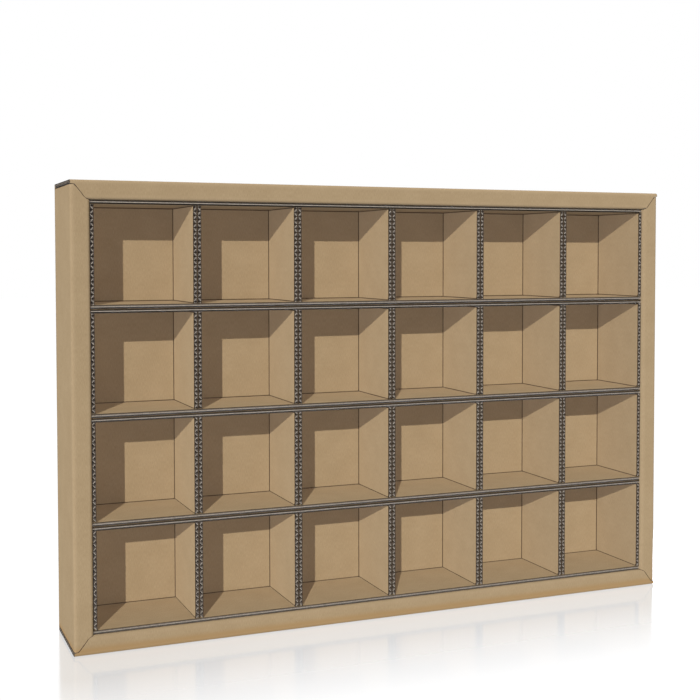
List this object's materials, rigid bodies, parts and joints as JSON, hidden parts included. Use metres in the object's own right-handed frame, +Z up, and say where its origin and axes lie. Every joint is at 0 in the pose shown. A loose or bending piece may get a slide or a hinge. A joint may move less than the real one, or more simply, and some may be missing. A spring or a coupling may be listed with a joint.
{
  "type": "compartment tray",
  "caption": "Open-front partitioned tray of corrugated board with a hollow folded rim and square pull-out cells.",
  "frame": {"origin": "on the ground under the middle of the tray", "axes": "+X to the right along the tray's length, +Y to the back panel, +Z up"},
  "size_m": [0.521, 0.078, 0.357],
  "materials": {
    "tray_board": "matte kraft liner",
    "channel_board": "matte kraft liner",
    "liner_board": "matte kraft liner"
  },
  "bodies": {
    "tray": {"tray_bottom_wall": "tray_board", "tray_top_wall": "tray_board", "tray_left_wall": "tray_board", "tray_right_wall": "tray_board", "tray_back_panel": "tray_board"},
    "row_1": {"row_channel_1": "channel_board"},
    "row_2": {"row_channel_2": "channel_board"},
    "row_3": {"row_channel_3": "channel_board"},
    "row_4": {"row_channel_4": "channel_board"},
    "cell_r1_c1": {"cell_liner_r1_c1": "liner_board"},
    "cell_r1_c2": {"cell_liner_r1_c2": "liner_board"},
    "cell_r1_c3": {"cell_liner_r1_c3": "liner_board"},
    "cell_r1_c4": {"cell_liner_r1_c4": "liner_board"},
    "cell_r1_c5": {"cell_liner_r1_c5": "liner_board"},
    "cell_r1_c6": {"cell_liner_r1_c6": "liner_board"},
    "cell_r2_c1": {"cell_liner_r2_c1": "liner_board"},
    "cell_r2_c2": {"cell_liner_r2_c2": "liner_board"},
    "cell_r2_c3": {"cell_liner_r2_c3": "liner_board"},
    "cell_r2_c4": {"cell_liner_r2_c4": "liner_board"},
    "cell_r2_c5": {"cell_liner_r2_c5": "liner_board"},
    "cell_r2_c6": {"cell_liner_r2_c6": "liner_board"},
    "cell_r3_c1": {"cell_liner_r3_c1": "liner_board"},
    "cell_r3_c2": {"cell_liner_r3_c2": "liner_board"},
    "cell_r3_c3": {"cell_liner_r3_c3": "liner_board"},
    "cell_r3_c4": {"cell_liner_r3_c4": "liner_board"},
    "cell_r3_c5": {"cell_liner_r3_c5": "liner_board"},
    "cell_r3_c6": {"cell_liner_r3_c6": "liner_board"},
    "cell_r4_c1": {"cell_liner_r4_c1": "liner_board"},
    "cell_r4_c2": {"cell_liner_r4_c2": "liner_board"},
    "cell_r4_c3": {"cell_liner_r4_c3": "liner_board"},
    "cell_r4_c4": {"cell_liner_r4_c4": "liner_board"},
    "cell_r4_c5": {"cell_liner_r4_c5": "liner_board"},
    "cell_r4_c6": {"cell_liner_r4_c6": "liner_board"}
  },
  "joints": [
    {"name": "row_1_slide", "type": "slide", "parent": "tray", "child": "row_1", "axis": [0, -1, 0], "range_m": [0, 0.085]},
    {"name": "row_2_slide", "type": "slide", "parent": "tray", "child": "row_2", "axis": [0, -1, 0], "range_m": [0, 0.085]},
    {"name": "row_3_slide", "type": "slide", "parent": "tray", "child": "row_3", "axis": [0, -1, 0], "range_m": [0, 0.085]},
    {"name": "row_4_slide", "type": "slide", "parent": "tray", "child": "row_4", "axis": [0, -1, 0], "range_m": [0, 0.085]},
    {"name": "cell_r1_c1_slide", "type": "slide", "parent": "row_1", "child": "cell_r1_c1", "axis": [0, -1, 0], "range_m": [0, 0.085]},
    {"name": "cell_r1_c2_slide", "type": "slide", "parent": "row_1", "child": "cell_r1_c2", "axis": [0, -1, 0], "range_m": [0, 0.085]},
    {"name": "cell_r1_c3_slide", "type": "slide", "parent": "row_1", "child": "cell_r1_c3", "axis": [0, -1, 0], "range_m": [0, 0.085]},
    {"name": "cell_r1_c4_slide", "type": "slide", "parent": "row_1", "child": "cell_r1_c4", "axis": [0, -1, 0], "range_m": [0, 0.085]},
    {"name": "cell_r1_c5_slide", "type": "slide", "parent": "row_1", "child": "cell_r1_c5", "axis": [0, -1, 0], "range_m": [0, 0.085]},
    {"name": "cell_r1_c6_slide", "type": "slide", "parent": "row_1", "child": "cell_r1_c6", "axis": [0, -1, 0], "range_m": [0, 0.085]},
    {"name": "cell_r2_c1_slide", "type": "slide", "parent": "row_2", "child": "cell_r2_c1", "axis": [0, -1, 0], "range_m": [0, 0.085]},
    {"name": "cell_r2_c2_slide", "type": "slide", "parent": "row_2", "child": "cell_r2_c2", "axis": [0, -1, 0], "range_m": [0, 0.085]},
    {"name": "cell_r2_c3_slide", "type": "slide", "parent": "row_2", "child": "cell_r2_c3", "axis": [0, -1, 0], "range_m": [0, 0.085]},
    {"name": "cell_r2_c4_slide", "type": "slide", "parent": "row_2", "child": "cell_r2_c4", "axis": [0, -1, 0], "range_m": [0, 0.085]},
    {"name": "cell_r2_c5_slide", "type": "slide", "parent": "row_2", "child": "cell_r2_c5", "axis": [0, -1, 0], "range_m": [0, 0.085]},
    {"name": "cell_r2_c6_slide", "type": "slide", "parent": "row_2", "child": "cell_r2_c6", "axis": [0, -1, 0], "range_m": [0, 0.085]},
    {"name": "cell_r3_c1_slide", "type": "slide", "parent": "row_3", "child": "cell_r3_c1", "axis": [0, -1, 0], "range_m": [0, 0.085]},
    {"name": "cell_r3_c2_slide", "type": "slide", "parent": "row_3", "child": "cell_r3_c2", "axis": [0, -1, 0], "range_m": [0, 0.085]},
    {"name": "cell_r3_c3_slide", "type": "slide", "parent": "row_3", "child": "cell_r3_c3", "axis": [0, -1, 0], "range_m": [0, 0.085]},
    {"name": "cell_r3_c4_slide", "type": "slide", "parent": "row_3", "child": "cell_r3_c4", "axis": [0, -1, 0], "range_m": [0, 0.085]},
    {"name": "cell_r3_c5_slide", "type": "slide", "parent": "row_3", "child": "cell_r3_c5", "axis": [0, -1, 0], "range_m": [0, 0.085]},
    {"name": "cell_r3_c6_slide", "type": "slide", "parent": "row_3", "child": "cell_r3_c6", "axis": [0, -1, 0], "range_m": [0, 0.085]},
    {"name": "cell_r4_c1_slide", "type": "slide", "parent": "row_4", "child": "cell_r4_c1", "axis": [0, -1, 0], "range_m": [0, 0.085]},
    {"name": "cell_r4_c2_slide", "type": "slide", "parent": "row_4", "child": "cell_r4_c2", "axis": [0, -1, 0], "range_m": [0, 0.085]},
    {"name": "cell_r4_c3_slide", "type": "slide", "parent": "row_4", "child": "cell_r4_c3", "axis": [0, -1, 0], "range_m": [0, 0.085]},
    {"name": "cell_r4_c4_slide", "type": "slide", "parent": "row_4", "child": "cell_r4_c4", "axis": [0, -1, 0], "range_m": [0, 0.085]},
    {"name": "cell_r4_c5_slide", "type": "slide", "parent": "row_4", "child": "cell_r4_c5", "axis": [0, -1, 0], "range_m": [0, 0.085]},
    {"name": "cell_r4_c6_slide", "type": "slide", "parent": "row_4", "child": "cell_r4_c6", "axis": [0, -1, 0], "range_m": [0, 0.085]}
  ]
}
